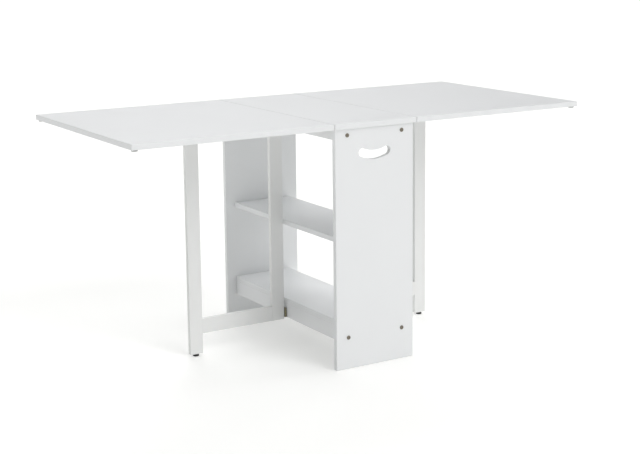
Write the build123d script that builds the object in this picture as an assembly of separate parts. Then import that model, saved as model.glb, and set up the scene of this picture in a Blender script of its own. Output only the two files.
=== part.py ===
from build123d import *
import os

# Gateleg table with two drop leaves, standing open.
# Axes: +X along the length of the open top, +Y from the front end panel to the rear one, +Z up.
# Origin: on the floor, under the middle of the top. All sizes are in millimetres.

# ---------------------------------------------------------------- driving dimensions
table_length = 1570.0
table_depth = 740.0
table_height = 750.0

top_thickness = 16.0
centre_top_width = 290.0
seam_gap = 2.0
board_thickness = 16.0
edge_ease = 0.8

panel_width = 278.0
panel_setback = 11.0
box_width = 210.0
top_apron_height = 42.0
bottom_apron_height = 47.0
bottom_apron_rise = 76.0
middle_shelf_rise = 381.0

hand_slot_span = 86.0
hand_slot_sag = 9.0
hand_slot_height = 26.8
hand_slot_drop = 76.5

bar_thickness = 15.0
bar_width = 44.0
gate_rail_height = 48.0
gate_rise = 70.0
gate_face_y = 4.5
foot_height = 7.0
foot_radius = 10.0
foot_top_radius = 8.5
foot_nail_radius = 1.25
foot_nail_length = 16.0
pad_radius = 9.0
pad_edge = 0.8
bumper_radius = 9.0
bumper_height = 5.0
bumper_inset = 14.0

hinge_knuckle_radius = 3.0
hinge_pin_radius = 1.5
hinge_plate_thickness = 1.5
gate_hinge_length = 30.0
gate_hinge_reach = 14.0
gate_hinge_knuckle = 9.0
gate_hinge_rise = 1.0
leaf_hinge_length = 60.0
leaf_hinge_reach = 25.0
leaf_hinge_knuckle = 18.0
leaf_hinge_inset = 130.0

bolt_radius = 3.0
bolt_length = 50.0
bolt_head_radius = 6.25
bolt_head_height = 2.6
bolt_head_round = 1.6
bolt_socket = 4.0
bolt_socket_depth = 1.8
bottom_bolt_rise = 22.0
top_bolt_drop = 20.0
barrel_radius = 5.0
barrel_length = 12.0
barrel_setback = 28.0
barrel_slot = 1.2
dowel_radius = 4.0
dowel_length = 30.0
dowel_in_panel = 10.0
dowel_pitch = 16.0
gate_dowel_length = 40.0
gate_dowel_pitch = 22.0
shelf_dowel_length = 24.0
shelf_dowel_in_shelf = 10.0
shelf_dowel_inset = 93.0

cam_radius = 7.5
cam_height = 12.5
cam_setback = 24.0
cam_x = 70.0
cam_slot = 2.0
cam_slot_depth = 3.0
cam_bolt_radius = 3.0
cam_bolt_neck = 2.0
cam_bolt_in_panel = 11.0

screw_radius = 1.5
screw_head_radius = 2.7
screw_head_height = 1.2
screw_recess = 0.5
gate_screw_length = 13.0
leaf_screw_length = 12.0
bracket_leg = 20.0
bracket_length = 30.0
bracket_thickness = 1.5
bracket_screw_length = 12.0
bracket_inset = 143.0

# ---------------------------------------------------------------- clearances
pin_clearance = 0.05
knuckle_clearance = 0.3
hinge_under_clearance = 2.0
hinge_face_clearance = 0.2
pad_clearance = 0.3
fold_clearance = 3.3
dowel_clearance = 0.05
hole_clearance = 0.4
blind_clearance = 1.0
barrel_clearance = 0.1
screw_clearance = 0.05

# ---------------------------------------------------------------- levels and lines shared by pieces
half_length = table_length / 2
half_depth = table_depth / 2
underside = table_height - top_thickness
panel_outer = half_depth - panel_setback
panel_inner = panel_outer - board_thickness
box_half = box_width / 2
box_inner = box_half - board_thickness
apron_mid = (box_half + box_inner) / 2
top_apron_low = underside - top_apron_height
bottom_apron_top = bottom_apron_rise + bottom_apron_height
bottom_shelf_top = bottom_apron_top + board_thickness
middle_shelf_top = middle_shelf_rise + board_thickness
bottom_bolt_z = bottom_apron_rise + bottom_bolt_rise
top_bolt_z = underside - top_bolt_drop

seam_x = (centre_top_width + seam_gap) / 2
leaf_inner = centre_top_width / 2 + seam_gap
leaf_pin_z = underside - hinge_knuckle_radius

gate_pin_x = box_half + hinge_knuckle_radius
gate_pin_y = gate_face_y - hinge_knuckle_radius - hinge_face_clearance
gate_back_y = gate_face_y + bar_thickness
gate_mid_y = (gate_face_y + gate_back_y) / 2
gate_top = underside - 2 * hinge_knuckle_radius - hinge_under_clearance
post_inner = gate_pin_x + hinge_knuckle_radius
post_outer = post_inner + bar_width
leg_outer = gate_pin_x + panel_inner + gate_pin_y - fold_clearance
leg_inner = leg_outer - bar_width
leg_mid = (leg_inner + leg_outer) / 2
lower_hinge_z = bottom_apron_rise + gate_hinge_rise + gate_hinge_length / 2
upper_hinge_z = (top_apron_low + gate_top) / 2

os.makedirs("parts", exist_ok=True)


# ---------------------------------------------------------------- shape helpers
def block(x, y, z):
    """A sharp-edged block between three pairs of limits."""
    limits = [sorted(pair) for pair in (x, y, z)]
    size = [high - low for low, high in limits]
    centre = [(high + low) / 2 for low, high in limits]
    return Pos(*centre) * Box(*size)


def board(x, y, z, eased):
    """A board between three pairs of limits, with its edges along the named axes eased."""
    blank = block(x, y, z)
    edges = [edge for axis in eased for edge in blank.edges().filter_by(axis)]
    return fillet(edges, edge_ease)


def rod(radius, start, end):
    """A round bar with flat ends, from one point to another."""
    path = Vector(*end) - Vector(*start)
    bar = Cylinder(radius, path.length, align=(Align.CENTER, Align.CENTER, Align.MIN))
    return Plane(origin=start, z_dir=path) * bar


def cut(piece, tools):
    """A piece with every tool in the list taken out of it."""
    for tool in tools:
        piece = piece - tool
    return piece


def mirrored(solids):
    """The same solids on the other side of the table's middle plane across its length."""
    return [mirror(solid, about=Plane.YZ) for solid in solids]


def save(node, solids):
    """Write one sub-part, which may be several equal solids, to its own file."""
    bodies = [body for solid in solids for body in solid.solids()]
    export_step(Compound(children=bodies), f"parts/{node}.step")


# ---------------------------------------------------------------- countersunk wood screws
# Each screw is built with its head flush with the plane it is placed on, pointing down that plane's Z.
def wood_screw(length):
    profile = Polyline(
        (0, 0),
        (screw_head_radius, 0),
        (screw_radius, -screw_head_height),
        (screw_radius, screw_radius - length),
        (0, -length),
        close=True,
    )
    screw = revolve(Plane.XZ * make_face(profile), Axis.Z)
    drive = Box(screw_head_radius, screw_recess, 2 * screw_recess)
    return screw - drive - Rot(0, 0, 90) * drive


def screw_hole(length):
    """The pilot hole that a wood screw fills, a little wider and deeper than the screw."""
    radius = screw_radius + screw_clearance
    depth = length + blind_clearance
    return Cylinder(radius, depth, align=(Align.CENTER, Align.CENTER, Align.MAX))


def countersink():
    """The cone and hole through a hinge plate or bracket for one screw."""
    mouth = screw_head_radius + screw_clearance
    throat = screw_radius + screw_clearance
    cone = Cone(throat, mouth, screw_head_height, align=(Align.CENTER, Align.CENTER, Align.MAX))
    return cone + screw_hole(2 * hinge_plate_thickness)


# ---------------------------------------------------------------- butt hinges
# A hinge half is built with its pin on Z and its plate reaching along +Y.
# The plate's back, which lies on the wood, is the plane x = knuckle radius.
def outer_knuckles(length, knuckle):
    return [(-length / 2, knuckle - length / 2), (length / 2 - knuckle, length / 2)]


def inner_knuckle(length, knuckle):
    half = length / 2 - knuckle - knuckle_clearance
    return [(-half, half)]


def hinge_half(length, reach, knuckles, screw_places):
    plate_face = hinge_knuckle_radius - hinge_plate_thickness
    plate_start = hinge_knuckle_radius + knuckle_clearance
    half = block((plate_face, hinge_knuckle_radius), (plate_start, reach), (-length / 2, length / 2))
    for low, high in knuckles:
        half += block((plate_face, hinge_knuckle_radius), (0, plate_start), (low, high))
        half += rod(hinge_knuckle_radius, (0, 0, low), (0, 0, high))
    bore = rod(hinge_pin_radius + pin_clearance, (0, 0, -length), (0, 0, length))
    return cut(half, [bore] + [place * countersink() for place in screw_places])


def hinge_screw_places(length, reach, count):
    """Planes on the plate's open face, one for each screw, spaced evenly along the hinge."""
    face = hinge_knuckle_radius - hinge_plate_thickness
    middle = (hinge_knuckle_radius + reach) / 2
    step = length / count
    heights = [step * (number + 0.5) - length / 2 for number in range(count)]
    return [Plane(origin=(face, middle, z), z_dir=(-1, 0, 0)) for z in heights]


def hinge_pin(length):
    return rod(hinge_pin_radius, (0, 0, -length / 2), (0, 0, length / 2))


# ---------------------------------------------------------------- where the fastenings go
# Connector bolts: one through each panel into each apron end, on the middle of the apron's thickness.
# A dowel beside each bolt stops the apron turning.
apron_ends = [
    (side * apron_mid, bolt_z, dowel_z)
    for side in (-1, 1)
    for bolt_z, dowel_z in (
        (bottom_bolt_z, bottom_bolt_z + dowel_pitch),
        (top_bolt_z, top_bolt_z - dowel_pitch),
    )
]
cam_seats = [-cam_x, cam_x]
shelf_dowel_seats = [side * (panel_inner - shelf_dowel_inset) for side in (-1, 1)]
bracket_seats = [side * (panel_inner - bracket_inset) for side in (-1, 1)]
leaf_hinge_seats = [side * (half_depth - leaf_hinge_inset) for side in (-1, 1)]
gate_hinge_seats = [lower_hinge_z, upper_hinge_z]

gate_screw_places = hinge_screw_places(gate_hinge_length, gate_hinge_reach, 2)
leaf_screw_places = hinge_screw_places(leaf_hinge_length, leaf_hinge_reach, 3)
gate_hinge_places = [Pos(-gate_pin_x, gate_pin_y, z) for z in gate_hinge_seats]
leaf_side_places = [
    Plane(origin=(-seam_x, y, leaf_pin_z), x_dir=(0, 0, 1), z_dir=(0, -1, 0)) for y in leaf_hinge_seats
]
top_side_places = [
    Plane(origin=(-seam_x, y, leaf_pin_z), x_dir=(0, 0, 1), z_dir=(0, 1, 0)) for y in leaf_hinge_seats
]


# ---------------------------------------------------------------- end panels
# Two full-height boards that stand on the floor and carry everything else.
# Each has a smiling hand slot near its top, four bolt holes, four dowel holes and two cam bolt holes.
def hand_slot(side):
    """A round-ended slot along a shallow arc that sags in its middle."""
    half = hand_slot_span / 2
    middle_line = ThreePointArc((-half, 0), (0, -hand_slot_sag), (half, 0))
    outline = SlotArc(middle_line.edge(), hand_slot_height)
    level = underside - hand_slot_drop
    face = Plane(origin=(0, side * panel_inner, level), x_dir=(1, 0, 0), z_dir=(0, -1, 0))
    return extrude(face * outline, board_thickness * 2, both=True)


def end_panel(side):
    panel = board(
        (-panel_width / 2, panel_width / 2),
        (side * panel_inner, side * panel_outer),
        (0, underside),
        (Axis.X, Axis.Z),
    )
    tools = [hand_slot(side)]
    seat = side * (panel_inner + dowel_in_panel + blind_clearance)
    cam_seat = side * (panel_inner + cam_bolt_in_panel + blind_clearance)
    for x, bolt_z, dowel_z in apron_ends:
        tools.append(rod(bolt_radius + hole_clearance, (x, 0, bolt_z), (x, side * half_depth, bolt_z)))
        tools.append(rod(dowel_radius + dowel_clearance, (x, 0, dowel_z), (x, seat, dowel_z)))
    for x in cam_seats:
        z = middle_shelf_rise + board_thickness / 2
        tools.append(rod(cam_bolt_radius + dowel_clearance, (x, 0, z), (x, cam_seat, z)))
    return cut(panel, tools)


save("end_panel_front", [end_panel(-1)])
save("end_panel_rear", [end_panel(1)])


# ---------------------------------------------------------------- aprons
# Four long boards on edge between the panels, two under the top and two under the bottom shelf.
def apron_end_holes(x, side_x, bolt_z, dowel_z, end):
    bolt_end = end * (panel_outer - bolt_length - blind_clearance)
    dowel_end = end * (panel_inner - dowel_length + dowel_in_panel - blind_clearance)
    nut_y = end * (panel_inner - barrel_setback)
    nut_depth = side_x * (box_inner + barrel_length + blind_clearance)
    return [
        rod(bolt_radius + hole_clearance, (x, end * half_depth, bolt_z), (x, bolt_end, bolt_z)),
        rod(dowel_radius + dowel_clearance, (x, end * half_depth, dowel_z), (x, dowel_end, dowel_z)),
        rod(barrel_radius + barrel_clearance, (0, nut_y, bolt_z), (nut_depth, nut_y, bolt_z)),
    ]


def left_gate_hinge_holes():
    holes = [seat * screw_hole(gate_screw_length) for seat in gate_screw_places]
    return [place * hole for place in gate_hinge_places for hole in holes]


def apron(side_x, low, high, bolt_z, dowel_z):
    x = side_x * apron_mid
    thickness = (side_x * box_inner, side_x * box_half)
    body = board(thickness, (-panel_inner, panel_inner), (low, high), (Axis.Y,))
    tools = []
    for end in (-1, 1):
        tools += apron_end_holes(x, side_x, bolt_z, dowel_z, end)
    hinge_holes = left_gate_hinge_holes()
    tools += hinge_holes if side_x < 0 else mirrored(hinge_holes)
    return cut(body, tools)


def top_apron(side_x):
    body = apron(side_x, top_apron_low, underside, top_bolt_z, top_bolt_z - dowel_pitch)
    hole = screw_hole(bracket_screw_length)
    return cut(body, [bracket_side_place(side_x, y) * hole for y in bracket_seats])


def bottom_apron(side_x):
    body = apron(
        side_x, bottom_apron_rise, bottom_apron_top, bottom_bolt_z, bottom_bolt_z + dowel_pitch
    )
    low = bottom_apron_top - shelf_dowel_length + shelf_dowel_in_shelf - blind_clearance
    x = side_x * apron_mid
    radius = dowel_radius + dowel_clearance
    return cut(body, [rod(radius, (x, y, low), (x, y, underside)) for y in shelf_dowel_seats])


def bracket_side_place(side_x, y):
    """The screw place on a bracket's upright leg, against the apron's inner face."""
    x = side_x * (box_inner - bracket_thickness)
    return Plane(origin=(x, y, underside - bracket_leg / 2), z_dir=(-side_x, 0, 0))


def bracket_top_place(side_x, y):
    """The screw place on a bracket's level leg, against the underside of the top."""
    x = side_x * (box_inner - bracket_leg / 2)
    return Plane(origin=(x, y, underside - bracket_thickness), z_dir=(0, 0, -1))


for side_name, side_x in (("left", -1), ("right", 1)):
    save(f"apron_top_{side_name}", [top_apron(side_x)])
    save(f"apron_bottom_{side_name}", [bottom_apron(side_x)])

# ---------------------------------------------------------------- middle shelf
# A loose board between the panels, held at each end by two cam locks let into its underside.
shelf_mid_z = middle_shelf_rise + board_thickness / 2
cam_seats_xy = [(x, end) for x in cam_seats for end in (-1, 1)]


def cam_centre_y(end):
    return end * (panel_inner - cam_setback)


middle_shelf = board(
    (-box_half, box_half), (-panel_inner, panel_inner), (middle_shelf_rise, middle_shelf_top), (Axis.Y,)
)
cam_bores = [
    rod(
        cam_radius + barrel_clearance,
        (x, cam_centre_y(end), middle_shelf_rise - blind_clearance),
        (x, cam_centre_y(end), middle_shelf_rise + cam_height + barrel_clearance),
    )
    for x, end in cam_seats_xy
]
cam_bolt_bores = [
    rod(
        cam_bolt_radius + hole_clearance,
        (x, end * half_depth, shelf_mid_z),
        (x, cam_centre_y(end), shelf_mid_z),
    )
    for x, end in cam_seats_xy
]
save("shelf_middle", [cut(middle_shelf, cam_bores + cam_bolt_bores)])


def cam_lock(x, end):
    """A round die-cast cam with a slot for the cam bolt's head and a cross slot to turn it."""
    y = cam_centre_y(end)
    body = rod(cam_radius, (x, y, middle_shelf_rise), (x, y, middle_shelf_rise + cam_height))
    mouth = rod(cam_bolt_radius + hole_clearance, (x, end * half_depth, shelf_mid_z), (x, y, shelf_mid_z))
    slot_z = (middle_shelf_rise, middle_shelf_rise + cam_slot_depth)
    slots = [
        block((x - cam_radius / 2, x + cam_radius / 2), (y - cam_slot / 2, y + cam_slot / 2), slot_z),
        block((x - cam_slot / 2, x + cam_slot / 2), (y - cam_radius / 2, y + cam_radius / 2), slot_z),
    ]
    return cut(body, [mouth] + slots)


def cam_bolt(x, end):
    """A bolt screwed into the panel, with a neck and head that the cam grips."""
    tip = end * (panel_inner - cam_setback + cam_bolt_neck)
    neck_end = end * (panel_inner - cam_setback + 3 * cam_bolt_neck)
    root = end * (panel_inner + cam_bolt_in_panel)
    neck = rod(cam_bolt_neck, (x, tip, shelf_mid_z), (x, root, shelf_mid_z))
    shank = rod(cam_bolt_radius, (x, neck_end, shelf_mid_z), (x, root, shelf_mid_z))
    head_start = end * (panel_inner - cam_setback + 1.5 * cam_bolt_neck)
    head = rod(cam_bolt_radius, (x, tip, shelf_mid_z), (x, head_start, shelf_mid_z))
    return neck + shank + head


save("cam_locks", [cam_lock(x, end) for x, end in cam_seats_xy])
save("cam_bolts", [cam_bolt(x, end) for x, end in cam_seats_xy])

# ---------------------------------------------------------------- bottom shelf
# It lies on the two bottom aprons and is located by four upright dowels.
bottom_shelf = board(
    (-box_half, box_half), (-panel_inner, panel_inner), (bottom_apron_top, bottom_shelf_top), (Axis.Y,)
)
shelf_dowel_points = [(side * apron_mid, y) for side in (-1, 1) for y in shelf_dowel_seats]
shelf_dowel_high = bottom_apron_top + shelf_dowel_in_shelf
shelf_dowel_low = shelf_dowel_high - shelf_dowel_length
shelf_dowel_bores = [
    rod(dowel_radius + dowel_clearance, (x, y, 0), (x, y, shelf_dowel_high + blind_clearance))
    for x, y in shelf_dowel_points
]
save("shelf_bottom", [cut(bottom_shelf, shelf_dowel_bores)])
save(
    "shelf_bottom_dowels",
    [rod(dowel_radius, (x, y, shelf_dowel_low), (x, y, shelf_dowel_high)) for x, y in shelf_dowel_points],
)


# ---------------------------------------------------------------- connector bolts, barrel nuts and dowels
def connector_bolt(x, z, side):
    """A low round head with a hex socket, and a plain shank that reaches through its barrel nut."""
    head = Cylinder(bolt_head_radius, bolt_head_height, align=(Align.CENTER, Align.CENTER, Align.MIN))
    head = fillet(head.edges().sort_by(Axis.Z)[-1], bolt_head_round)
    flat_to_corner = bolt_socket / 2 / 0.8660254
    socket = extrude(RegularPolygon(flat_to_corner, 6), bolt_head_height)
    shank = Cylinder(bolt_radius, bolt_length, align=(Align.CENTER, Align.CENTER, Align.MAX))
    bolt = head - Pos(0, 0, bolt_head_height - bolt_socket_depth) * socket + shank
    return Plane(origin=(x, side * panel_outer, z), z_dir=(0, side, 0)) * bolt


def barrel_nut(x, z, side):
    """A cross nut let into the apron's inner face, with a screwdriver slot in its open end."""
    sign = 1 if x > 0 else -1
    y = side * (panel_inner - barrel_setback)
    body = rod(barrel_radius, (sign * box_inner, y, z), (sign * (box_inner + barrel_length), y, z))
    bore = rod(bolt_radius + barrel_clearance, (x, y - 2 * barrel_radius, z), (x, y + 2 * barrel_radius, z))
    half_slot = barrel_slot / 2
    slot_x = (sign * box_inner, sign * (box_inner + barrel_slot))
    slot = block(slot_x, (y - barrel_radius, y + barrel_radius), (z - half_slot, z + half_slot))
    return cut(body, [bore, slot])


def apron_dowel(x, z, side):
    outer = side * (panel_inner + dowel_in_panel)
    inner = side * (panel_inner + dowel_in_panel - dowel_length)
    return rod(dowel_radius, (x, inner, z), (x, outer, z))


for end_name, side in (("front", -1), ("rear", 1)):
    bolts = [connector_bolt(x, bolt_z, side) for x, bolt_z, dowel_z in apron_ends]
    nuts = [barrel_nut(x, bolt_z, side) for x, bolt_z, dowel_z in apron_ends]
    dowels = [apron_dowel(x, dowel_z, side) for x, bolt_z, dowel_z in apron_ends]
    save(f"connector_bolts_{end_name}", bolts)
    save(f"barrel_nuts_{end_name}", nuts)
    save(f"apron_dowels_{end_name}", dowels)

# ---------------------------------------------------------------- fixed centre top
# A board over the panels and aprons, held down by four angle brackets.
bracket_points = [(side_x, y) for side_x in (-1, 1) for y in bracket_seats]
bracket_hole = screw_hole(bracket_screw_length)
top_pilots = [bracket_top_place(*point) * bracket_hole for point in bracket_points]
top_hinge_holes = [seat * screw_hole(leaf_screw_length) for seat in leaf_screw_places]
left_top_hinge_pilots = [place * hole for place in top_side_places for hole in top_hinge_holes]
centre_top = board(
    (-centre_top_width / 2, centre_top_width / 2),
    (-half_depth, half_depth),
    (underside, table_height),
    (Axis.X, Axis.Y, Axis.Z),
)
save("top_centre", [cut(centre_top, top_pilots + left_top_hinge_pilots + mirrored(left_top_hinge_pilots))])


def bracket(side_x, y):
    """A steel angle with one screw up into the top and one sideways into the apron."""
    ends = (y - bracket_length / 2, y + bracket_length / 2)
    tall = (underside - bracket_leg, underside)
    upright = block((side_x * (box_inner - bracket_thickness), side_x * box_inner), ends, tall)
    level_x = (side_x * (box_inner - bracket_leg), side_x * box_inner)
    level = block(level_x, ends, (underside - bracket_thickness, underside))
    tools = [bracket_side_place(side_x, y) * countersink(), bracket_top_place(side_x, y) * countersink()]
    return cut(upright + level, tools)


bracket_screw = wood_screw(bracket_screw_length)
bracket_screws = [bracket_side_place(*point) * bracket_screw for point in bracket_points]
bracket_screws += [bracket_top_place(*point) * bracket_screw for point in bracket_points]
save("top_brackets", [bracket(side_x, y) for side_x, y in bracket_points])
save("top_bracket_screws", bracket_screws)

# ---------------------------------------------------------------- gates
# Each gate is a ladder of two uprights and two rails, turning on two butt hinges fixed to the aprons.
# The left gate is built, and the right gate is its mirror image.
gate_y = (gate_face_y, gate_back_y)
gate_rail_z = [(gate_rise, gate_rise + gate_rail_height), (gate_top - gate_rail_height, gate_top)]
gate_joints = [
    (x, (low + high) / 2 + offset)
    for x in (-leg_inner, -post_outer)
    for low, high in gate_rail_z
    for offset in (-gate_dowel_pitch / 2, gate_dowel_pitch / 2)
]


def gate_dowel(x, z, extra):
    """A dowel across the line where a rail meets an upright, or the bore for it."""
    half = gate_dowel_length / 2 + blind_clearance * extra
    return rod(dowel_radius + dowel_clearance * extra, (x - half, gate_mid_y, z), (x + half, gate_mid_y, z))


gate_dowel_bores = [gate_dowel(x, z, 1) for x, z in gate_joints]


def foot_nail(extra):
    """The nail that holds the foot to the bottom of the leg, or the hole for it."""
    radius = foot_nail_radius + screw_clearance * extra
    tip = foot_height + foot_nail_length + blind_clearance * extra
    return rod(radius, (-leg_mid, gate_mid_y, foot_height / 2), (-leg_mid, gate_mid_y, tip))


def pad_nail(extra):
    """The nail that holds the pad to the top of the leg, or the hole for it."""
    radius = foot_nail_radius + screw_clearance * extra
    tip = gate_top - foot_nail_length - blind_clearance * extra
    return rod(radius, (-leg_mid, gate_mid_y, tip), (-leg_mid, gate_mid_y, gate_top + pad_edge))


def outer_leg():
    leg = board((-leg_outer, -leg_inner), gate_y, (foot_height, gate_top), (Axis.Z,))
    return cut(leg, gate_dowel_bores + [foot_nail(1), pad_nail(1)])


def inner_post():
    post = board((-post_outer, -post_inner), gate_y, (gate_rise, gate_top), (Axis.Z,))
    flipped = [mirror(seat * screw_hole(gate_screw_length), about=Plane.YZ) for seat in gate_screw_places]
    return cut(post, gate_dowel_bores + [place * hole for place in gate_hinge_places for hole in flipped])


def gate_rail(limits):
    rail = board((-leg_inner, -post_outer), gate_y, limits, (Axis.X,))
    return cut(rail, gate_dowel_bores)


def gate_foot():
    """A hard plastic glide, wider at the floor, with its nail."""
    cone = Cone(foot_radius, foot_top_radius, foot_height, align=(Align.CENTER, Align.CENTER, Align.MIN))
    cone = fillet(cone.edges().sort_by(Axis.Z)[0], pad_edge)
    return Pos(-leg_mid, gate_mid_y, 0) * cone + foot_nail(0)


def leaf_pad():
    """A nylon pad on top of the leg that the leaf rests on."""
    height = underside - pad_clearance - gate_top
    disc = Cylinder(bar_thickness / 2 - pad_edge, height, align=(Align.CENTER, Align.CENTER, Align.MIN))
    disc = fillet(disc.edges().sort_by(Axis.Z)[-1], pad_edge)
    return Pos(-leg_mid, gate_mid_y, gate_top) * disc + pad_nail(0)


gate_inner_spans = inner_knuckle(gate_hinge_length, gate_hinge_knuckle)
gate_outer_spans = outer_knuckles(gate_hinge_length, gate_hinge_knuckle)
gate_moving_half = mirror(
    hinge_half(gate_hinge_length, gate_hinge_reach, gate_inner_spans, gate_screw_places), about=Plane.YZ
)
gate_fixed_half = hinge_half(gate_hinge_length, gate_hinge_reach, gate_outer_spans, gate_screw_places)
gate_screws = [seat * wood_screw(gate_screw_length) for seat in gate_screw_places]
gate_moving_screws = [mirror(screw, about=Plane.YZ) for screw in gate_screws]

left_gate = {
    "outer_leg": [outer_leg()],
    "inner_post": [inner_post()],
    "rail_bottom": [gate_rail(gate_rail_z[0])],
    "rail_top": [gate_rail(gate_rail_z[1])],
    "dowels": [gate_dowel(x, z, 0) for x, z in gate_joints],
    "foot": [gate_foot()],
    "leaf_pad": [leaf_pad()],
    "hinge_halves": [place * gate_moving_half for place in gate_hinge_places],
    "hinge_screws": [place * screw for place in gate_hinge_places for screw in gate_moving_screws],
}
left_gate_fixings = {
    "gate_hinge_fixed_halves": [place * gate_fixed_half for place in gate_hinge_places],
    "gate_hinge_pins": [place * hinge_pin(gate_hinge_length) for place in gate_hinge_places],
    "gate_hinge_fixed_screws": [place * screw for place in gate_hinge_places for screw in gate_screws],
}
for name, solids in left_gate.items():
    save(f"gate_left_{name}", solids)
    save(f"gate_right_{name}", mirrored(solids))
for name, solids in left_gate_fixings.items():
    save(f"{name}_left", solids)
    save(f"{name}_right", mirrored(solids))

# ---------------------------------------------------------------- drop leaves
# Each leaf hangs on two butt hinges under the seam, and has soft bumpers under its outer corners.
leaf_inner_spans = inner_knuckle(leaf_hinge_length, leaf_hinge_knuckle)
leaf_outer_spans = outer_knuckles(leaf_hinge_length, leaf_hinge_knuckle)
leaf_moving_half = hinge_half(leaf_hinge_length, leaf_hinge_reach, leaf_inner_spans, leaf_screw_places)
leaf_fixed_half = hinge_half(leaf_hinge_length, leaf_hinge_reach, leaf_outer_spans, leaf_screw_places)
leaf_screws = [seat * wood_screw(leaf_screw_length) for seat in leaf_screw_places]
leaf_holes = [seat * screw_hole(leaf_screw_length) for seat in leaf_screw_places]
leaf_pilots = [place * hole for place in leaf_side_places for hole in leaf_holes]
left_leaf_board = board(
    (-half_length, -leaf_inner),
    (-half_depth, half_depth),
    (underside, table_height),
    (Axis.X, Axis.Y, Axis.Z),
)
bumper_points = [(bumper_inset - half_length, side * (half_depth - bumper_inset)) for side in (-1, 1)]


def bumper(x, y):
    disc = rod(bumper_radius, (x, y, underside - bumper_height), (x, y, underside))
    return fillet(disc.edges().sort_by(Axis.Z)[0], pad_edge)


left_leaf = {
    "leaf": [cut(left_leaf_board, leaf_pilots)],
    "leaf_bumpers": [bumper(x, y) for x, y in bumper_points],
    "leaf_hinge_halves": [place * leaf_moving_half for place in leaf_side_places],
    "leaf_hinge_screws": [place * screw for place in leaf_side_places for screw in leaf_screws],
    "top_hinge_halves": [place * leaf_fixed_half for place in top_side_places],
    "top_hinge_pins": [place * hinge_pin(leaf_hinge_length) for place in top_side_places],
    "top_hinge_screws": [place * screw for place in top_side_places for screw in leaf_screws],
}
for name, solids in left_leaf.items():
    save(f"{name}_left", solids)
    save(f"{name}_right", mirrored(solids))
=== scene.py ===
import math

import bmesh
import bpy
from mathutils import Euler, Matrix, Vector


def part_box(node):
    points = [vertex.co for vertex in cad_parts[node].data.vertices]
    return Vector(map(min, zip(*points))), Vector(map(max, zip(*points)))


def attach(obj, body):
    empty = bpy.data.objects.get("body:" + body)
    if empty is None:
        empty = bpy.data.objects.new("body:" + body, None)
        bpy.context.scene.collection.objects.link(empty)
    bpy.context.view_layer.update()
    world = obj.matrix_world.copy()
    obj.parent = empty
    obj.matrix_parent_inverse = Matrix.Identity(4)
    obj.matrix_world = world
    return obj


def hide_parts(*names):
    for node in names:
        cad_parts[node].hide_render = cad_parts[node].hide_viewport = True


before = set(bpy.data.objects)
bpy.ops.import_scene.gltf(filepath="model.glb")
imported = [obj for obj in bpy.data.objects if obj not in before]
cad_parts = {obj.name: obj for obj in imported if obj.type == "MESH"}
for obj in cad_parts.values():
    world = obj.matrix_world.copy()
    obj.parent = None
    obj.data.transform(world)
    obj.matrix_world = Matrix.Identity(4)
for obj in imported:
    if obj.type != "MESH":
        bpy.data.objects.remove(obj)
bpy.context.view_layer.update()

scene = bpy.context.scene

# ---------------------------------------------------------------- where the table is seen from
# A standing viewer in front of the table and to its left, with eyes well above the open top.
# The long lens keeps the uprights nearly parallel, its small shift centres the table, and the
# camera leans to its right by a little over half a degree.
eye = bpy.data.cameras.new("eye")
eye.sensor_width = 36.0
eye.lens = 76.188
eye.shift_y = -0.1
eye_stand = bpy.data.objects.new("eye", eye)
eye_stand.location = (-2.2098, -3.6751, 1.3080)
aim_down, turn_right, lean = math.radians(9.7516), math.radians(31.3309), math.radians(-0.617)
level_aim = Euler((math.pi / 2 - aim_down, 0, -turn_right)).to_matrix()
eye_stand.rotation_euler = (level_aim @ Matrix.Rotation(lean, 3, "Z")).to_euler()
scene.collection.objects.link(eye_stand)
scene.camera = eye_stand

# ---------------------------------------------------------------- the soft light
# A pale ceiling, a wide window in front and a little to the right, and pale walls at the right
# and behind. The room round the floor is white to look at, and gives almost no light of its own.
scene.view_settings.view_transform = "Standard"
room = bpy.data.worlds.new("room")
room.use_nodes = True
fill = room.node_tree.nodes["Background"]
fill.inputs["Color"].default_value = (1.0, 1.0, 1.0, 1)
fill.inputs["Strength"].default_value = 0.08
backdrop = room.node_tree.nodes.new("ShaderNodeBackground")
backdrop.inputs["Color"].default_value = (1.0, 1.0, 1.0, 1)
backdrop.inputs["Strength"].default_value = 1.0
looked_at = room.node_tree.nodes.new("ShaderNodeLightPath").outputs["Is Camera Ray"]
either = room.node_tree.nodes.new("ShaderNodeMixShader")
room.node_tree.links.new(looked_at, either.inputs[0])
room.node_tree.links.new(fill.outputs[0], either.inputs[1])
room.node_tree.links.new(backdrop.outputs[0], either.inputs[2])
room.node_tree.links.new(either.outputs[0], room.node_tree.nodes["World Output"].inputs["Surface"])
scene.world = room


def soft_light(name, turn, height, width, strength):
    """A wide, far light: turned from straight in front towards the right, and raised, in degrees."""
    lamp = bpy.data.lights.new(name, "SUN")
    lamp.angle = math.radians(width)
    lamp.energy = strength
    stand = bpy.data.objects.new(name, lamp)
    turned, raised = math.radians(turn), math.radians(height)
    level = math.cos(raised)
    towards = Vector((math.sin(turned) * level, -math.cos(turned) * level, math.sin(raised)))
    stand.rotation_euler = towards.to_track_quat("Z", "Y").to_euler()
    scene.collection.objects.link(stand)


soft_light("ceiling", 0, 90, 90, 1.15)
soft_light("window_high", 10, 40, 26, 0.72)
soft_light("window", 24, 21, 24, 0.53)
soft_light("wall_right", 85, 25, 30, 0.72)
soft_light("wall_right_low", 112, 6, 12, 0.7)
soft_light("wall_behind_right", 155, 37, 34, 0.98)
soft_light("wall_behind_left", -112, 37, 34, 0.32)


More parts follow.
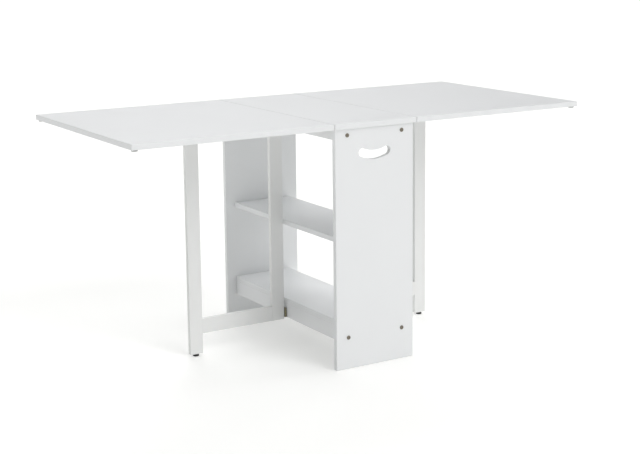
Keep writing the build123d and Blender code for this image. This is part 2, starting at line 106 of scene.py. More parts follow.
# ---------------------------------------------------------------- how finishes are written
class Tone:
    """A value running through a finish. Arithmetic on it adds Math nodes to that finish."""

    def __init__(self, finish, socket):
        self.finish = finish
        self.socket = socket

    def worked(self, operation, *values):
        return self.finish.node("ShaderNodeMath", {"operation": operation}, dict(enumerate(values)))

    def __add__(self, other):
        return self.worked("ADD", self, other)

    def __radd__(self, other):
        return self.worked("ADD", other, self)

    def __sub__(self, other):
        return self.worked("SUBTRACT", self, other)

    def __rsub__(self, other):
        return self.worked("SUBTRACT", other, self)

    def __mul__(self, other):
        return self.worked("MULTIPLY", self, other)

    def __rmul__(self, other):
        return self.worked("MULTIPLY", other, self)

    def __lt__(self, other):
        return self.worked("LESS_THAN", self, other)

    def __gt__(self, other):
        return self.worked("GREATER_THAN", self, other)

    def __abs__(self):
        return self.worked("ABSOLUTE", self)

    def least(self, other):
        return self.worked("MINIMUM", self, other)

    def most(self, other):
        return self.worked("MAXIMUM", self, other)


class Finish:
    """A material whose nodes are added by node(), ending in one surface shader."""

    def __init__(self, name, roughness, metallic=0.0, coat=0.0):
        self.material = bpy.data.materials.new(name)
        self.material.use_nodes = True
        self.tree = self.material.node_tree
        self.surface = self.tree.nodes["Principled BSDF"]
        self.surface.inputs["Roughness"].default_value = roughness
        self.surface.inputs["Metallic"].default_value = metallic
        self.surface.inputs["Coat Weight"].default_value = coat

    def node(self, kind, settings=None, values=None, output=0):
        made = self.tree.nodes.new(kind)
        for name, setting in (settings or {}).items():
            if name == "stops":
                for number, (position, level) in enumerate(setting):
                    stops = made.color_ramp.elements
                    stop = stops[number] if number < len(stops) else stops.new(position)
                    stop.position = position
                    stop.color = (level, level, level, 1)
            else:
                setattr(made, name, setting)
        for name, value in (values or {}).items():
            self.feed(made.inputs[name], value)
        if isinstance(output, tuple):
            return [Tone(self, made.outputs[number]) for number in output]
        return Tone(self, made.outputs[output])

    def feed(self, socket, value):
        if isinstance(value, Tone):
            self.tree.links.new(value.socket, socket)
        else:
            socket.default_value = value

    def place(self, stretch=(1, 1, 1)):
        """Where a point is on the object, in metres, with each axis multiplied."""
        where = self.node("ShaderNodeTexCoord", output=3)
        return self.node("ShaderNodeMapping", None, {"Vector": where, "Scale": stretch})

    def parts(self, vector):
        return self.node("ShaderNodeSeparateXYZ", None, {0: vector}, output=(0, 1, 2))

    def noise(self, vector, scale, detail=2.0, roughness=0.5):
        values = {"Vector": vector, "Scale": scale, "Detail": detail, "Roughness": roughness}
        return self.node("ShaderNodeTexNoise", None, values)

    def ramp(self, factor, *stops):
        return self.node("ShaderNodeValToRGB", {"stops": stops}, {0: factor})

    def blended(self, factor, first, second):
        colours = [(*c, 1) if isinstance(c, tuple) else c for c in (first, second)]
        values = {0: factor, 6: colours[0], 7: colours[1]}
        return self.node("ShaderNodeMix", {"data_type": "RGBA"}, values, output=2)

    def colour(self, value):
        self.feed(self.surface.inputs["Base Color"], value)

    def sheen(self, value):
        self.feed(self.surface.inputs["Roughness"], value)

    def relief(self, height, depth):
        values = {"Height": height, "Distance": depth, "Strength": 1.0}
        bump = self.node("ShaderNodeBump", None, values)
        self.feed(self.surface.inputs["Normal"], bump)


# ---------------------------------------------------------------- the floor
# A smooth, almost white floor that the table stands on.
# It glows a little, as a floor does under strong lamps, so only the deep shade by the table shows.
floor_half = 60.0
floor_level = -0.0004
floor_mesh = bpy.data.meshes.new("floor")
floor_corners = [(-floor_half, -floor_half), (floor_half, -floor_half), (floor_half, floor_half)]
floor_corners.append((-floor_half, floor_half))
floor_mesh.from_pydata([(x, y, floor_level) for x, y in floor_corners], [], [(0, 1, 2, 3)])
floor = bpy.data.objects.new("floor", floor_mesh)
scene.collection.objects.link(floor)
floor_paint = Finish("floor_paint", 0.9)
floor_paint.surface.inputs["Base Color"].default_value = (0.86, 0.86, 0.85, 1)
floor_paint.surface.inputs["Specular IOR Level"].default_value = 0.0
floor_paint.surface.inputs["Emission Color"].default_value = (1.0, 1.0, 0.98, 1)
floor_paint.surface.inputs["Emission Strength"].default_value = 0.23
floor_mesh.materials.append(floor_paint.material)

# ---------------------------------------------------------------- end panels
# Two 16 mm boards of particle board, faced in satin white melamine and banded on their edges.
# They stand on the floor. Each has a smiling slot to lift the table by, routed and painted white.
board_ease = 0.0008
band_line = (0.00095, 0.0011, 0.00125)
band_line_depth = 0.00008
hidden_share = 0.15
slot_half_span = 0.043
slot_sag = 0.009
slot_half_height = 0.0134
slot_ends_below_top = 0.0765
slot_ease = 0.0014
rim_steps = 4


def quarter(radius, steps):
    """(inset, drop) from a board's side wall up over a rounded edge to its face."""
    angles = [math.radians(90) * step / steps for step in range(steps + 1)]
    return [(radius * (1 - math.cos(a)), radius * (1 - math.sin(a))) for a in angles]


def banded_edge():
    """A rounded edge, then the fine line where the edge band meets the face."""
    line = list(zip(band_line, (0, band_line_depth, 0)))
    return quarter(board_ease, rim_steps) + line


def rectangle_rim(low, high, corner, give):
    """The outline of a rectangle, drawn in by an inset, with a share of it at each pair of sides."""

    def rim(inset):
        radius = max(corner - inset, corner / 8)
        points = []
        for number, (side_u, side_v) in enumerate(((1, 1), (-1, 1), (-1, -1), (1, -1))):
            near_u = (high if side_u > 0 else low)[0] - side_u * (inset * give[0] + radius)
            near_v = (high if side_v > 0 else low)[1] - side_v * (inset * give[1] + radius)
            for step in range(rim_steps + 1):
                turn = math.radians(90) * (number + step / rim_steps)
                points.append((near_u + radius * math.cos(turn), near_v + radius * math.sin(turn)))
        return points

    return rim


def arc_points(centre, radius, start, end, steps):
    turns = [start + (end - start) * step / steps for step in range(steps + 1)]
    return [(centre[0] + radius * math.cos(t), centre[1] + radius * math.sin(t)) for t in turns]


def smile_rim(level):
    """The outline of the hand slot: a round-ended slot along a shallow sagging arc."""
    bend = (slot_half_span**2 + slot_sag**2) / (2 * slot_sag)
    hub = (0.0, level + bend - slot_sag)
    lean = math.asin(slot_half_span / bend)
    down = -math.pi / 2

    def rim(inset):
        reach = slot_half_height + inset
        lower = arc_points(hub, bend + reach, down - lean, down + lean, 28)
        right = arc_points((slot_half_span, level), reach, down + lean, down + lean + math.pi, 16)
        upper = arc_points(hub, bend - reach, down + lean, down - lean, 28)
        half_turn = down - lean + math.pi
        left = arc_points((-slot_half_span, level), reach, half_turn, half_turn + math.pi, 16)
        return lower[:-1] + right[:-1] + upper[:-1] + left[:-1]

    return rim


def round_rim(centre, radius, sides=32):
    def rim(inset):
        return arc_points(centre, radius + inset, 0, 2 * math.pi, sides)[:-1]

    return rim


def strip(shape, rim, stations, place):
    """Faces between the outlines of a rim at each (inset, height) station."""
    rings = [[shape.verts.new(place(u, v, w)) for u, v in rim(inset)] for inset, w in stations]
    for ring, following in zip(rings, rings[1:]):
        for number, corner in enumerate(ring):
            after = (number + 1) % len(ring)
            shape.faces.new((corner, ring[after], following[after], following[number]))
    return rings[0], rings[-1]


def covered(shape, rings):
    """The flat face inside the first ring and outside the others."""
    if len(rings) == 1:
        shape.faces.new(rings[0])
        return
    edges = [shape.edges.get((a, b)) for ring in rings for a, b in zip(ring, ring[1:] + ring[:1])]
    bmesh.ops.triangle_fill(shape, use_beauty=True, use_dissolve=False, edges=edges)


def board_shape(low, high, axes, give, holes=(), pockets=()):
    """A board between two corners. axes gives its two face axes and its thickness axis.
    Holes go through it; a pocket is sunk from its low (-1) or high (1) face."""
    along, across, through = axes

    def place(u, v, w):
        point = [0.0, 0.0, 0.0]
        point[along], point[across], point[through] = u, v, w
        return point

    corner = board_ease if min(give) == 1 else board_ease / 4
    outline = rectangle_rim((low[along], low[across]), (high[along], high[across]), corner, give)
    bottom, top = low[through], high[through]
    shape = bmesh.new()
    lower_rings, upper_rings = [], []
    for rim, profile in [(outline, banded_edge())] + list(holes):
        stations = [(inset, bottom + drop) for inset, drop in reversed(profile)]
        stations += [(inset, top - drop) for inset, drop in profile]
        first, last = strip(shape, rim, stations, place)
        lower_rings.append(first)
        upper_rings.append(last)
    for rim, side, depth in pockets:
        face, floor_of_pocket = (top, top - depth) if side > 0 else (bottom, bottom + depth)
        first, last = strip(shape, rim, [(0.0, face), (0.0, floor_of_pocket)], place)
        (upper_rings if side > 0 else lower_rings).append(first)
        covered(shape, [last])
    covered(shape, lower_rings)
    covered(shape, upper_rings)
    return shape


def settled(name, shape, material):
    """A smooth-shaded piece made of a shape, with its broad flat faces kept flat."""
    bmesh.ops.recalc_face_normals(shape, faces=shape.faces)
    mesh = bpy.data.meshes.new(name)
    shape.to_mesh(mesh)
    shape.free()
    mesh.polygons.foreach_set("use_smooth", [True] * len(mesh.polygons))
    mesh.materials.append(material)
    piece = bpy.data.objects.new(name, mesh)
    scene.collection.objects.link(piece)
    even = piece.modifiers.new("even_shading", "WEIGHTED_NORMAL")
    even.weight = 100
    whole = bpy.context.evaluated_depsgraph_get()
    final = bpy.data.meshes.new_from_object(
        piece.evaluated_get(whole), preserve_all_data_layers=True, depsgraph=whole
    )
    piece.modifiers.clear()
    piece.data = final
    final.name = name
    bpy.data.meshes.remove(mesh)
    return piece


batches = iter(range(100))
batch_step = 0.618


def measured(piece, low, high):
    """Write on a board how far each point is from its middle, along, across and through it."""
    low, high = Vector(low), Vector(high)
    size, middle = high - low, (high + low) / 2
    order = sorted(range(3), key=lambda axis: -size[axis])
    points = piece.data.vertices
    batch = (next(batches) * batch_step) % 1.0
    for name, kind, field, values in (
        ("board_place", "FLOAT_VECTOR", "vector", [(p.co - middle)[a] for p in points for a in order]),
        ("board_half", "FLOAT_VECTOR", "vector", [size[a] / 2 for p in points for a in order]),
        ("board_batch", "FLOAT", "value", [batch] * len(points)),
    ):
        piece.data.attributes.new(name, kind, "POINT").data.foreach_set(field, values)


def joined(piece, body, slot, *nodes):
    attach(piece, body)
    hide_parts(*nodes)


def arris_distance(finish):
    """The distance to the nearest long edge, the distance below the face, and the batch."""
    where = finish.node("ShaderNodeAttribute", {"attribute_name": "board_place"}, output=1)
    half = finish.node("ShaderNodeAttribute", {"attribute_name": "board_half"}, output=1)
    batch = finish.node("ShaderNodeAttribute", {"attribute_name": "board_batch"}, output=2)
    ends, sides, faces = [h - abs(w) for w, h in zip(finish.parts(where), finish.parts(half))]
    rim = ends.least(sides)
    nearest = rim.most(ends.most(sides).least(faces))
    return nearest, rim, faces, batch


melamine = Finish("melamine_white", 0.3)
nearest, rim, faces, batch = arris_distance(melamine)
cloudy = melamine.noise(melamine.place(), 3.0, 3.0)
paper = melamine.noise(melamine.place(), 420.0, 3.0, 0.6)
pearl = melamine.noise(melamine.place(), 1100.0, 1.0)
rubbed = melamine.noise(melamine.place((1, 1, 4)), 9.0, 4.0, 0.65)
on_face = faces < 0.0004
in_line = on_face * (rim > band_line[0]) * (rim < band_line[2])
routed = (faces > 0.0013) * (rim > 0.004)
on_arris = nearest < 0.0006
shade = melamine.blended(cloudy, (0.800, 0.812, 0.822), (0.822, 0.833, 0.841))
shade = melamine.blended(batch * 0.5, shade, (0.806, 0.818, 0.824))
shade = melamine.blended(paper * 0.12, shade, (0.770, 0.780, 0.788))
shade = melamine.blended(on_arris * 0.25, shade, (0.760, 0.765, 0.760))
shade = melamine.blended(in_line * 0.55, shade, (0.520, 0.515, 0.500))
shade = melamine.blended(routed * 0.6, shade, (0.740, 0.745, 0.740))
melamine.colour(shade)
melamine.sheen(0.27 + rubbed * 0.09 + paper * 0.03 + on_arris * 0.08 + routed * 0.2)
melamine.relief(pearl * 0.7 + paper * 0.3 + routed * paper, 0.00003)

under_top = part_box("top_centre")[0].z
panel_faces = {}
for end in ("front", "rear"):
    low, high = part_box(f"end_panel_{end}")
    panel_faces[end] = (low.y, high.y)
    slot = (smile_rim(under_top - slot_ends_below_top), quarter(slot_ease, rim_steps))
    panel = settled(
        f"panel_{end}", board_shape(low, high, (0, 2, 1), (1, 1), holes=[slot]), melamine.material
    )
    measured(panel, low, high)
    joined(panel, "frame", "white_board", f"end_panel_{end}")

# ---------------------------------------------------------------- aprons
# Four boards on edge tie the panels together, two under the top and two under the bottom shelf.
# Their inner faces are bored for the cross nuts that the connector bolts screw into.
nut_radius = 0.005
nut_bore = nut_radius + 0.0001
nut_depth = 0.013
nut_setback = 0.028
for level in ("top", "bottom"):
    nut_rows = [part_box(f"barrel_nuts_{end}") for end in ("front", "rear")]
    nut_levels = (nut_rows[0][0].z + nut_radius, nut_rows[0][1].z - nut_radius)
    nut_z = nut_levels[1] if level == "top" else nut_levels[0]
    for side, sign in (("left", -1), ("right", 1)):
        low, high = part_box(f"apron_{level}_{side}")
        seats = [low.y + nut_setback, high.y - nut_setback]
        bores = [(round_rim((y, nut_z), nut_bore), -sign, nut_depth) for y in seats]
        apron = settled(
            f"{level}_apron_{side}",
            board_shape(low, high, (1, 2, 0), (hidden_share, 1), pockets=bores),
            melamine.material,
        )
        measured(apron, low, high)
        joined(apron, "frame", "white_board", f"apron_{level}_{side}")

# ---------------------------------------------------------------- dowels
# Fluted beech pegs glued across every joint of the box and of the gates.
# They are hidden once the table is together.
beech = Finish("beech_peg", 0.62)
fibres = beech.noise(beech.place((1, 0.12, 1)), 900.0, 3.0)
flecks = beech.ramp(beech.noise(beech.place(), 1500.0, 2.0), (0.45, 0.0), (0.62, 1.0))
wood = beech.blended(fibres, (0.62, 0.44, 0.27), (0.76, 0.59, 0.40))
beech.colour(beech.blended(flecks * 0.35, wood, (0.48, 0.31, 0.18)))
beech.relief(fibres, 0.00006)


def refinished(finish, *nodes):
    """Give the pieces that keep their built shape a finish of their own."""
    for node in nodes:
        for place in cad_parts[node].material_slots:
            place.material = finish.material


refinished(beech, "apron_dowels_front", "apron_dowels_rear", "shelf_bottom_dowels")
refinished(beech, "gate_left_dowels", "gate_right_dowels")

# ---------------------------------------------------------------- cross nuts
# Zinc-plated steel nuts pushed into the aprons, with a slot to line them up with the bolts.
zinc = Finish("zinc_plate", 0.32, metallic=1.0)
plating = zinc.noise(zinc.place(), 260.0, 4.0, 0.6)
drawn = zinc.noise(zinc.place((1, 1, 14)), 800.0, 2.0)
plate = zinc.blended(plating, (0.55, 0.57, 0.60), (0.70, 0.71, 0.71))
zinc.colour(zinc.blended(drawn * 0.3, plate, (0.48, 0.49, 0.50)))
zinc.sheen(0.22 + plating * 0.22)
zinc.relief(drawn * 0.6 + plating * 0.4, 0.00004)
refinished(zinc, "barrel_nuts_front", "barrel_nuts_rear", "cam_bolts")

# ---------------------------------------------------------------- connector bolts
# Four bronze-plated bolts through each end panel, with low round heads and a hex socket.
# They pull the panels tight against the aprons.
bolt_head = {"radius": 0.00625, "height": 0.0026, "round": 0.0016}
bolt_socket = {"across": 0.004, "depth": 0.0018}
bolt_shank = {"radius": 0.003, "length": 0.050}
bolt_thread = {"root": 0.84, "pitch": 0.001, "ridges": 24}
head_sides = 48


def circle(radius):
    return lambda turn: radius


def hexagon(across):
    def outline(turn):
        sixth = math.radians(60)
        return across / 2 / math.cos((turn % sixth) - sixth / 2)

    return outline


def turned(stations, sides):
    """A closed shape from (outline, height) stations, each outline giving a radius at a turn."""
    shape = bmesh.new()

    def rim_of(number):
        return [
            (stations[number][0](turn) * math.cos(turn), stations[number][0](turn) * math.sin(turn))
            for turn in (2 * math.pi * side / sides for side in range(sides))
        ]

    heights = [(number, height) for number, (outline, height) in enumerate(stations)]
    first, last = strip(shape, rim_of, heights, lambda u, v, w: (u, v, w))
    covered(shape, [first])
    covered(shape, [last])
    return shape


def seat_tree():
    """The tree that sets one pattern of screw or bolt in each seat, turned at random."""
    tree = bpy.data.node_groups.new("set_in_seats", "GeometryNodeTree")
    tree.is_modifier = True
    face = tree.interface
    face.new_socket(name="Geometry", in_out="OUTPUT", socket_type="NodeSocketGeometry")
    for name, kind in (
        ("Seats", "NodeSocketGeometry"),
        ("Pattern", "NodeSocketObject"),
        ("Size", "NodeSocketFloat"),
        ("Sink", "NodeSocketFloat"),
        ("Most turn", "NodeSocketFloat"),
        ("Seed", "NodeSocketInt"),
        ("Finish", "NodeSocketMaterial"),
    ):
        face.new_socket(name=name, in_out="INPUT", socket_type=kind)

    def add(kind, settings=None, values=None):
        made = tree.nodes.new(kind)
        for name, setting in (settings or {}).items():
            setattr(made, name, setting)
        for name, value in (values or {}).items():
            if isinstance(value, bpy.types.NodeSocket):
                tree.links.new(value, made.inputs[name])
            else:
                made.inputs[name].default_value = value
        return made

    given = add("NodeGroupInput").outputs
    pattern = add("GeometryNodeObjectInfo", None, {"Object": given["Pattern"]}).outputs["Geometry"]
    facing = add(
        "GeometryNodeInputNamedAttribute", {"data_type": "FLOAT_VECTOR"}, {"Name": "facing"}
    ).outputs["Attribute"]
    down = add("ShaderNodeVectorMath", {"operation": "SCALE"}, {0: facing, "Scale": given["Sink"]})
    lowered = add(
        "GeometryNodeSetPosition", None, {"Geometry": given["Seats"], "Offset": down.outputs[0]}
    )
    upright = add("FunctionNodeAlignRotationToVector", {"axis": "Z"}, {"Vector": facing})
    turn = add("FunctionNodeRandomValue", None, {"Max": given["Most turn"], "Seed": given["Seed"]})
    twist = add(
        "FunctionNodeAxisAngleToRotation", None, {"Axis": (0, 0, 1), "Angle": turn.outputs["Value"]}
    )
    posed = add(
        "FunctionNodeRotateRotation",
        {"rotation_space": "LOCAL"},
        {"Rotation": upright.outputs[0], "Rotate By": twist.outputs[0]},
    )
    placed = add(
        "GeometryNodeInstanceOnPoints",
        None,
        {
            "Points": lowered.outputs[0],
            "Instance": pattern,
            "Rotation": posed.outputs[0],
            "Scale": given["Size"],
        },
    )
    real = add("GeometryNodeRealizeInstances", None, {"Geometry": placed.outputs[0]})
    done = add(
        "GeometryNodeSetMaterial", None, {"Geometry": real.outputs[0], "Material": given["Finish"]}
    )
    add("NodeGroupOutput", None, {"Geometry": done.outputs[0]})
    return tree


set_in_seats = seat_tree()


def seated(name, seats, pattern, finish, seed, size=1.0, sink=0.0, most_turn=2 * math.pi):
    """One piece: a copy of the pattern at each (point, facing) seat."""
    mesh = bpy.data.meshes.new(name)
    mesh.from_pydata([point for point, facing in seats], [], [])
    directions = mesh.attributes.new("facing", "FLOAT_VECTOR", "POINT")
    directions.data.foreach_set("vector", [value for point, facing in seats for value in facing])
    piece = bpy.data.objects.new(name, mesh)
    scene.collection.objects.link(piece)
    grown = piece.modifiers.new("seats", "NODES")
    grown.node_group = set_in_seats
    asked = {
        "Pattern": pattern,
        "Size": size,
        "Sink": -sink,
        "Most turn": most_turn,
        "Seed": seed,
        "Finish": finish.material,
    }
    for socket in set_in_seats.interface.items_tree:
        if socket.name in asked:
            grown[socket.identifier] = asked[socket.name]
    whole = bpy.context.evaluated_depsgraph_get()
    final = bpy.data.meshes.new_from_object(piece.evaluated_get(whole), depsgraph=whole)
    piece.modifiers.clear()
    piece.data = final
    final.name = name
    bpy.data.meshes.remove(mesh)
    return piece


def bolt_pattern():
    edge = quarter(bolt_head["round"], 5)
    top = bolt_head["height"]
    head = [(circle(bolt_head["radius"] - inset), top - drop) for inset, drop in edge]
    mouth = bolt_socket["across"]
    ease = 0.0003
    socket = [
        (hexagon(mouth + 2 * ease), top),
        (hexagon(mouth), top - ease),
        (hexagon(mouth), top - bolt_socket["depth"]),
        (circle(mouth / 5), top - bolt_socket["depth"] - mouth / 8),
    ]
    shank = bolt_shank["radius"]
    pitch = bolt_thread["pitch"]
    threads = []
    for ridge in range(bolt_thread["ridges"]):
        level = -bolt_shank["length"] + pitch + ridge * pitch
        root = circle(shank * bolt_thread["root"])
        threads += [(root, level), (circle(shank), level + pitch / 2)]
    stations = [(circle(shank * 0.6), -bolt_shank["length"])] + threads
    stations += [(circle(shank * 0.9), threads[-1][1] + pitch), (circle(shank * 0.9), 0.0)]
    stations += [(circle(bolt_head["radius"]), 0.0)] + head + socket
    return settled("bolt_pattern", turned(stations, head_sides), bronze.material)


bronze = Finish("bronze_plate", 0.36, metallic=1.0)
tarnish = bronze.noise(bronze.place(), 420.0, 4.0, 0.62)
rolled = bronze.noise(bronze.place(), 1600.0, 2.0)
dull = bronze.ramp(tarnish, (0.38, 0.0), (0.66, 1.0))
plate = bronze.blended(dull, (0.29, 0.26, 0.21), (0.13, 0.115, 0.095))
bronze.colour(bronze.blended(rolled * 0.25, plate, (0.40, 0.37, 0.30)))
bronze.sheen(0.28 + dull * 0.22)
bronze.relief(rolled, 0.00003)

bolt_model = bolt_pattern()
for seed, (end, out) in enumerate((("front", -1), ("rear", 1)), 11):
    low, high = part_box(f"connector_bolts_{end}")
    reach = bolt_head["radius"]
    face_y = panel_faces[end][0 if out < 0 else 1]
    seats = [
        ((x, face_y, z), (0, out, 0))
        for x in (low.x + reach, high.x - reach)
        for z in (low.z + reach, high.z - reach)
    ]
    bolts = seated(f"bolts_{end}", seats, bolt_model, bronze, seed)
    joined(bolts, "frame", "bronze_bolt", f"connector_bolts_{end}")
bpy.data.objects.remove(bolt_model)

# ---------------------------------------------------------------- shelves
# The middle shelf hangs on cam fittings let into its underside; the bottom one lies on its aprons.
# Both are the same white board as the panels, cut off square where they meet them.
cam_bore = 0.0076
cam_bore_depth = 0.0126
cam_radius = 0.0075
cam_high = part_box("cam_locks")[1]
cam_reach = (cam_high.x - cam_radius, cam_high.y - cam_radius)
for name, node in (("middle", "shelf_middle"), ("bottom", "shelf_bottom")):
    low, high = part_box(node)
    bores = [
        (round_rim((x * cam_reach[0], y * cam_reach[1]), cam_bore), -1, cam_bore_depth)
        for x in (-1, 1)
        for y in (-1, 1)
        if name == "middle"
    ]
    shelf = settled(
        f"{name}_shelf",
        board_shape(low, high, (0, 1, 2), (1, hidden_share), pockets=bores),
        melamine.material,
    )
    measured(shelf, low, high)
    joined(shelf, "frame", "white_board", node)

cast = Finish("die_cast_zinc", 0.5, metallic=1.0)
grains = cast.noise(cast.place(), 900.0, 3.0)
blotch = cast.noise(cast.place(), 180.0, 3.0)
cast.colour(cast.blended(blotch, (0.42, 0.43, 0.44), (0.57, 0.58, 0.59)))
cast.sheen(0.42 + grains * 0.2)
cast.relief(grains, 0.00008)
refinished(cast, "cam_locks")

# ---------------------------------------------------------------- centre top
# A fixed board over the box, screwed up through four small steel angles on the top aprons.
low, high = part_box("top_centre")
centre_top = settled("centre_top", board_shape(low, high, (1, 0, 2), (1, 1)), melamine.material)
measured(centre_top, low, high)
joined(centre_top, "frame", "white_board", "top_centre")
refinished(zinc, "top_brackets")

screw_head = {"radius": 0.0027, "height": 0.0012}
screw_shank = {"radius": 0.0015, "length": 0.012, "point": 0.0016}
screw_thread = {"root": 0.68, "pitch": 0.0012, "crest": 0.0005, "ridges": 7}
recess = {"long": 0.0034, "wide": 0.0009, "depth": 0.0011}


def cross(long, wide):
    def outline(turn):
        along, aside = abs(math.cos(turn)) + 1e-6, abs(math.sin(turn)) + 1e-6
        return max(min(long / 2 / along, wide / 2 / aside), min(wide / 2 / along, long / 2 / aside))

    return outline


def screw_pattern():
    """A countersunk cross-head screw, its head flush with the plane it is set on."""
    flat, rim_drop = 0.0, 0.00015
    shank, length = screw_shank["radius"], screw_shank["length"]
    stations = [(circle(0.0002), -length)]
    for ridge in range(screw_thread["ridges"]):
        level = -length + screw_shank["point"] + ridge * screw_thread["pitch"]
        root = circle(shank * screw_thread["root"])
        stations += [(root, level), (circle(shank), level + screw_thread["crest"])]
    stations += [
        (circle(shank * 0.8), -screw_head["height"] * 1.3),
        (circle(screw_head["radius"]), -rim_drop),
        (circle(screw_head["radius"] - rim_drop), flat),
        (cross(recess["long"] + 0.0002, recess["wide"] + 0.0002), flat),
        (cross(recess["long"] - 0.0002, recess["wide"] - 0.0001), flat - 0.0002),
        (cross(recess["long"] * 0.45, recess["wide"] * 0.6), flat - recess["depth"]),
    ]
    return settled("screw_pattern", turned(stations, head_sides), zinc.material)


screw_model = screw_pattern()
low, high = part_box("top_brackets")
bracket_reach, bracket_wall, bracket_half_width = high.z - low.z, 0.0015, 0.015
seats = []
for side in (-1, 1):
    for y in (low.y + bracket_half_width, high.y - bracket_half_width):
        seats.append(((side * (high.x - bracket_wall), y, (low.z + high.z) / 2), (-side, 0, 0)))
        seats.append(((side * (high.x - bracket_reach / 2), y, high.z - bracket_wall), (0, 0, -1)))
joined(
    seated("bracket_screws", seats, screw_model, zinc, 21), "frame", "zinc_steel", "top_bracket_screws"
)

# ---------------------------------------------------------------- gates
# Each gate is a painted beech ladder of two uprights and two rails, glued on hidden dowels.
# It stands open under its leaf, and folds flat against the box.
bar_ease = 0.0011
bar_end_ease = 0.0003
hair = 1e-6


def bar_shape(low, high, along):
    """A bar with its long edges rounded and its ends barely broken."""
    shape = bmesh.new()
    bmesh.ops.create_cube(shape, size=1.0)
    for corner in shape.verts:
        corner.co = [low[axis] if corner.co[axis] < 0 else high[axis] for axis in range(3)]
    runs = [e for e in shape.edges if abs((e.verts[0].co - e.verts[1].co)[along]) > hair]
    bmesh.ops.bevel(shape, geom=runs, offset=bar_ease, segments=4, profile=0.5, affect="EDGES")
    ends = [e for e in shape.edges if abs((e.verts[0].co - e.verts[1].co)[along]) < hair]
    bmesh.ops.bevel(shape, geom=ends, offset=bar_end_ease, segments=2, profile=0.5, affect="EDGES")
    return shape


paint = Finish("painted_beech", 0.4)
nearest, rim, faces, batch = arris_distance(paint)
where = paint.node("ShaderNodeAttribute", {"attribute_name": "board_place"}, output=1)
lengthwise = paint.node("ShaderNodeMapping", None, {"Vector": where, "Scale": (0.06, 1, 1)})
grain = paint.noise(lengthwise, 420.0, 4.0, 0.6)
growth = paint.noise(lengthwise, 90.0, 2.0)
stipple = paint.noise(paint.place(), 900.0, 2.0)
soft = paint.noise(paint.place(), 5.0, 3.0)
worn = nearest < 0.0005
shade = paint.blended(soft, (0.790, 0.796, 0.790), (0.815, 0.820, 0.812))
shade = paint.blended(grain * 0.16, shade, (0.735, 0.735, 0.720))
shade = paint.blended(batch * 0.4, shade, (0.800, 0.806, 0.800))
paint.colour(paint.blended(worn * 0.3, shade, (0.735, 0.732, 0.715)))
paint.sheen(0.34 + stipple * 0.1 + growth * 0.06 + worn * 0.06)
paint.relief(grain * 0.55 + growth * 0.35 + stipple * 0.35, 0.00006)

for side in ("left", "right"):
    for bar, along in (("outer_leg", 2), ("inner_post", 2), ("rail_bottom", 0), ("rail_top", 0)):
        node = f"gate_{side}_{bar}"
        low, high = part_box(node)
        piece = settled(f"{side}_{bar}", bar_shape(low, high, along), paint.material)
        measured(piece, low, high)
        joined(piece, f"gate_{side}", "white_painted_bar", node)

# ---------------------------------------------------------------- gate hinges
# Small butt hinges of lacquered brass gone dark, two to a gate, with their pins riveted over.
brass = Finish("dark_brass", 0.34, metallic=1.0)
spots = brass.noise(brass.place(), 320.0, 5.0, 0.65)
brushed = brass.noise(brass.place((1, 1, 0.05)), 1500.0, 2.0)
aged = brass.ramp(spots, (0.36, 0.0), (0.64, 1.0))
skin = brass.blended(aged, (0.29, 0.27, 0.17), (0.12, 0.115, 0.08))
brass.colour(brass.blended(brushed * 0.3, skin, (0.38, 0.35, 0.23)))
brass.sheen(0.26 + aged * 0.24)
brass.relief(brushed, 0.00003)

gate_screw_pitch = 0.015
for side, sign in (("left", -1), ("right", 1)):
    refinished(brass, f"gate_hinge_fixed_halves_{side}", f"gate_hinge_pins_{side}")
    refinished(brass, f"gate_{side}_hinge_halves")
    fixed, moving = f"gate_hinge_fixed_screws_{side}", f"gate_{side}_hinge_screws"
    for seed, node, body, facing, name in (
        (31, fixed, "frame", sign, f"gate_hinge_screws_{side}_box"),
        (32, moving, f"gate_{side}", -sign, f"gate_hinge_screws_{side}_gate"),
    ):
        low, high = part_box(node)
        reach = screw_head["radius"]
        levels = [low.z + reach, low.z + reach + gate_screw_pitch]
        levels += [high.z - reach - gate_screw_pitch, high.z - reach]
        face_x = high.x if facing > 0 else low.x
        seats = [((face_x, (low.y + high.y) / 2, z), (facing, 0, 0)) for z in levels]
        screws = seated(name, seats, screw_model, brass, seed)
        joined(screws, body, "aged_brass", node)

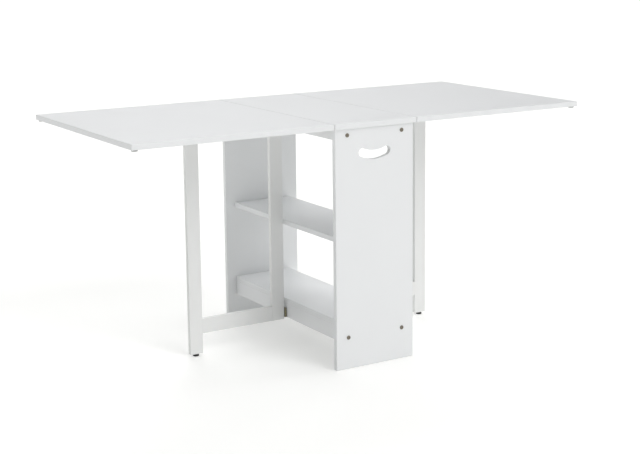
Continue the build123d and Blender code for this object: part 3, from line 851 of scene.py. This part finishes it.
# ---------------------------------------------------------------- feet and pads of the gates
# A black glide nailed under each outer leg runs over the floor as the gate swings.
# A small nylon pad on top of the leg carries the leaf.
foot = {"radius": 0.010, "neck": 0.0085, "height": 0.007}
rubber = Finish("black_glide", 0.55)
scuffs = rubber.noise(rubber.place((1, 1, 0.3)), 500.0, 4.0, 0.7)
moulded = rubber.noise(rubber.place(), 1400.0, 2.0)
rubber.colour(rubber.blended(scuffs * 0.5, (0.012, 0.012, 0.013), (0.045, 0.044, 0.043)))
rubber.sheen(0.42 + scuffs * 0.25)
rubber.relief(moulded + scuffs * 0.5, 0.00006)
nylon = Finish("nylon_pad", 0.45)
milky = nylon.noise(nylon.place(), 300.0, 3.0)
nylon.colour(nylon.blended(milky, (0.70, 0.69, 0.65), (0.78, 0.77, 0.73)))
nylon.relief(milky, 0.00005)
for side in ("left", "right"):
    low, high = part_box(f"gate_{side}_foot")
    centre = ((low.x + high.x) / 2, (low.y + high.y) / 2)
    wide, neck, tall = foot["radius"], foot["neck"], foot["height"]
    stations = [
        (circle(0.0012), 0.0),
        (circle(wide * 0.72), 0.0),
        (circle(wide * 0.9), 0.0003),
        (circle(wide * 0.98), 0.0011),
        (circle(wide), 0.0021),
        (circle(wide * 0.985), 0.0032),
        (circle(wide * 0.93), 0.0040),
        (circle(neck * 1.02), 0.0047),
        (circle(neck), 0.0052),
        (circle(neck), tall),
        (circle(0.00125), tall),
        (circle(0.00125), high.z - 0.001),
        (circle(0.0003), high.z),
    ]
    shape = turned(stations, 40)
    for point in shape.verts:
        point.co.x += centre[0]
        point.co.y += centre[1]
    glide = settled(f"{side}_glide", shape, rubber.material)
    joined(glide, f"gate_{side}", "black_plastic", f"gate_{side}_foot")
    refinished(nylon, f"gate_{side}_leaf_pad")

# ---------------------------------------------------------------- drop leaves
# Two wide leaves of the same white board meet the centre top along a 2 mm seam.
# Each hangs on two brass butt hinges screwed up into the boards on both sides of the seam.
leaf_screw_pitch = 0.020
for side, sign in (("left", -1), ("right", 1)):
    low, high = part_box(f"leaf_{side}")
    leaf = settled(f"top_leaf_{side}", board_shape(low, high, (0, 1, 2), (1, 1)), melamine.material)
    measured(leaf, low, high)
    joined(leaf, f"leaf_{side}", "white_board", f"leaf_{side}")
    refinished(brass, f"top_hinge_halves_{side}", f"top_hinge_pins_{side}", f"leaf_hinge_halves_{side}")
    for seed, node, body, name in (
        (41, f"top_hinge_screws_{side}", "frame", f"seam_screws_{side}_top"),
        (42, f"leaf_hinge_screws_{side}", f"leaf_{side}", f"seam_screws_{side}_leaf"),
    ):
        low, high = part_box(node)
        reach = screw_head["radius"]
        rows = [low.y + reach + leaf_screw_pitch * number for number in range(3)]
        rows += [high.y - reach - leaf_screw_pitch * number for number in range(3)]
        seats = [(((low.x + high.x) / 2, y, low.z), (0, 0, -1)) for y in rows]
        joined(seated(name, seats, screw_model, brass, seed), body, "aged_brass", node)
bpy.data.objects.remove(screw_model)

# ---------------------------------------------------------------- bumpers
# Soft grey buttons stuck under the leaves' outer corners, so that a hanging leaf doesn't knock.
button = {"radius": 0.009, "height": 0.005, "round": 0.0014}
soft_grey = Finish("grey_button", 0.6)
dusty = soft_grey.noise(soft_grey.place(), 350.0, 4.0)
soft_grey.colour(soft_grey.blended(dusty, (0.40, 0.41, 0.41), (0.52, 0.53, 0.52)))
soft_grey.sheen(0.5 + dusty * 0.2)
soft_grey.relief(dusty, 0.00006)
edge = quarter(button["round"], 4)
stations = [(circle(button["radius"]), 0.0)]
stations += [(circle(button["radius"] - inset), button["height"] - drop) for inset, drop in edge]
stations += [(circle(button["radius"] * 0.5), button["height"])]
button_model = settled("button_pattern", turned(stations, 40), soft_grey.material)
for seed, side in ((51, "left"), (52, "right")):
    low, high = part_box(f"leaf_bumpers_{side}")
    reach = button["radius"]
    seats = [
        (((low.x + high.x) / 2, y, high.z), (0, 0, -1)) for y in (low.y + reach, high.y - reach)
    ]
    buttons = seated(f"bumpers_{side}", seats, button_model, soft_grey, seed)
    joined(buttons, f"leaf_{side}", "grey_rubber", f"leaf_bumpers_{side}")
bpy.data.objects.remove(button_model)
